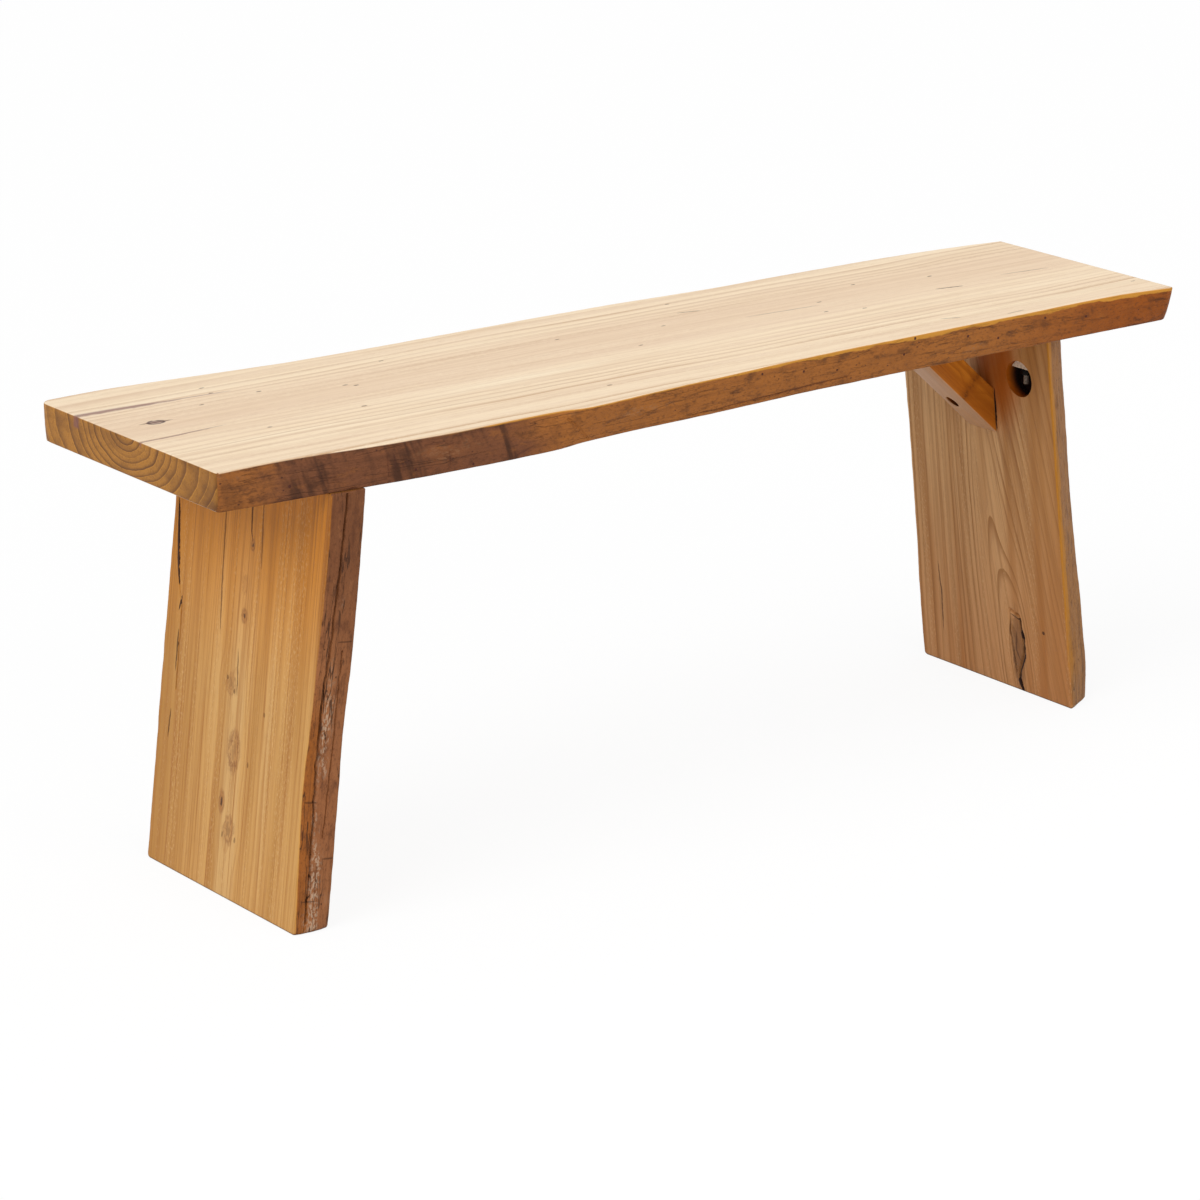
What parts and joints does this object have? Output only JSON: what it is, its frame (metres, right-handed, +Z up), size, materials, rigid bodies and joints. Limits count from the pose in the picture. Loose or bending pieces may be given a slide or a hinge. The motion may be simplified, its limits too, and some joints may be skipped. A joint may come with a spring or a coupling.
{
  "type": "dining bench",
  "caption": "Live-edge slab dining bench: thick seat board on splayed slab legs, each bolted up from a round access hole and stiffened by a mitred brace.",
  "frame": {"origin": "on the floor, under the middle of the seat's bounding box", "axes": "+X along the seat towards the narrower end, +Y towards the back edge, +Z up"},
  "size_m": [1.194, 0.3358, 0.46],
  "materials": {
    "seat_wood": "satin clear lacquer",
    "leg_wood": "satin clear lacquer",
    "brace_wood": "satin clear lacquer",
    "zinc_steel": "zinc plated",
    "dark_steel": "blackened",
    "insert_brass": "turned"
  },
  "bodies": {
    "root": {"left_back_half_moon": "zinc_steel", "left_back_insert": "insert_brass", "left_back_nut": "dark_steel", "left_back_spring_washer": "dark_steel", "left_back_stud": "zinc_steel", "left_brace": "brace_wood", "left_brace_leg_screw": "zinc_steel", "left_brace_seat_screw": "zinc_steel", "left_front_half_moon": "zinc_steel", "left_front_insert": "insert_brass", "left_front_nut": "dark_steel", "left_front_spring_washer": "dark_steel", "left_front_stud": "zinc_steel", "left_leg": "leg_wood", "right_back_half_moon": "zinc_steel", "right_back_insert": "insert_brass", "right_back_nut": "dark_steel", "right_back_spring_washer": "dark_steel", "right_back_stud": "zinc_steel", "right_brace": "brace_wood", "right_brace_leg_screw": "zinc_steel", "right_brace_seat_screw": "zinc_steel", "right_front_half_moon": "zinc_steel", "right_front_insert": "insert_brass", "right_front_nut": "dark_steel", "right_front_spring_washer": "dark_steel", "right_front_stud": "zinc_steel", "right_leg": "leg_wood", "seat_slab": "seat_wood"}
  },
  "joints": []
}
